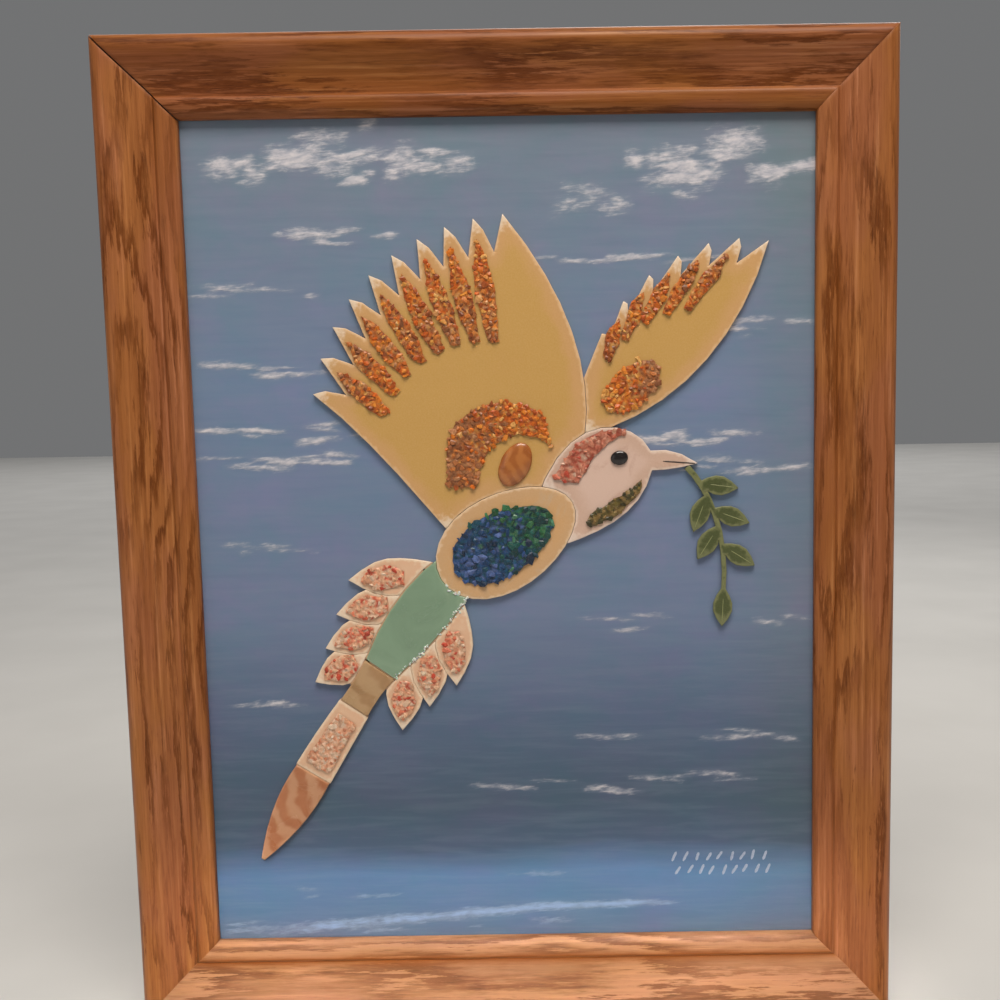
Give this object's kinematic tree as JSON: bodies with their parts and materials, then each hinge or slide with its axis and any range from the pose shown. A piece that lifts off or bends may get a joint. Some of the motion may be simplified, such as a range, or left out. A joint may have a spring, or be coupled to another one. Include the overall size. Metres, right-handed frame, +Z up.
{
  "type": "framed collage",
  "caption": "Framed wall collage: a bird in cut plates and crushed stone on a painted sky board, in a mitred oak frame with a coved moulding.",
  "frame": {"origin": "on the back face of the frame's top rail, at the middle of its length, where it lies against the wall", "axes": "the picture faces -Y, +X is to the right as it is looked at, +Z is up, and +Y points into the wall"},
  "size_m": [0.3722, 0.019, 0.4737],
  "materials": {
    "oak": "stained oak with open pores under a satin varnish",
    "painted_board": "hand-painted matt sky over hardboard",
    "cream_plate": "sawn and rubbed smooth",
    "bone_plate": "rubbed smooth, slightly glossy",
    "tan_plate": "rubbed smooth under thin lacquer",
    "blue_stone": "crushed chips in clear glue",
    "pink_stone": "crushed chips in clear glue",
    "olive_stone": "crushed chips in clear glue",
    "amber_stone": "crushed chips in clear glue",
    "green_stone": "polished slab",
    "khaki_stone": "polished slab",
    "agate": "polished",
    "leaf_stone": "rubbed smooth",
    "jet": "polished black bead"
  },
  "bodies": {
    "root": {"rail_top": "oak", "rail_right": "oak", "rail_bottom": "oak", "rail_left": "oak", "picture_board": "painted_board", "body_plate": "cream_plate", "body_chips": "blue_stone", "head_plate": "bone_plate", "nape_chips": "pink_stone", "throat_chips": "olive_stone", "eye_bead": "jet", "near_wing_plate": "tan_plate", "near_shoulder_chips": "amber_stone", "wing_agate": "agate", "near_feather_chips_1": "amber_stone", "near_feather_chips_2": "amber_stone", "near_feather_chips_3": "amber_stone", "near_feather_chips_4": "amber_stone", "near_feather_chips_5": "amber_stone", "near_feather_chips_6": "amber_stone", "near_feather_chips_7": "amber_stone", "near_feather_chips_8": "amber_stone", "far_wing_plate": "tan_plate", "far_shoulder_chips": "amber_stone", "far_feather_chips_1": "amber_stone", "far_feather_chips_2": "amber_stone", "far_feather_chips_3": "amber_stone", "far_feather_chips_4": "amber_stone", "far_feather_chips_5": "amber_stone", "tail_green_slab": "green_stone", "tail_left_feather_1": "cream_plate", "tail_left_feather_2": "cream_plate", "tail_left_feather_3": "cream_plate", "tail_left_feather_4": "cream_plate", "tail_left_feather_1_chips": "pink_stone", "tail_left_feather_2_chips": "pink_stone", "tail_left_feather_3_chips": "pink_stone", "tail_left_feather_4_chips": "pink_stone", "tail_right_feather_1": "cream_plate", "tail_right_feather_2": "cream_plate", "tail_right_feather_3": "cream_plate", "tail_right_feather_1_chips": "pink_stone", "tail_right_feather_2_chips": "pink_stone", "tail_right_feather_3_chips": "pink_stone", "plume_khaki_slab": "khaki_stone", "plume_speckled_plate": "cream_plate", "plume_chips": "pink_stone", "plume_agate_tip": "agate", "twig": "leaf_stone"}
  },
  "joints": []
}
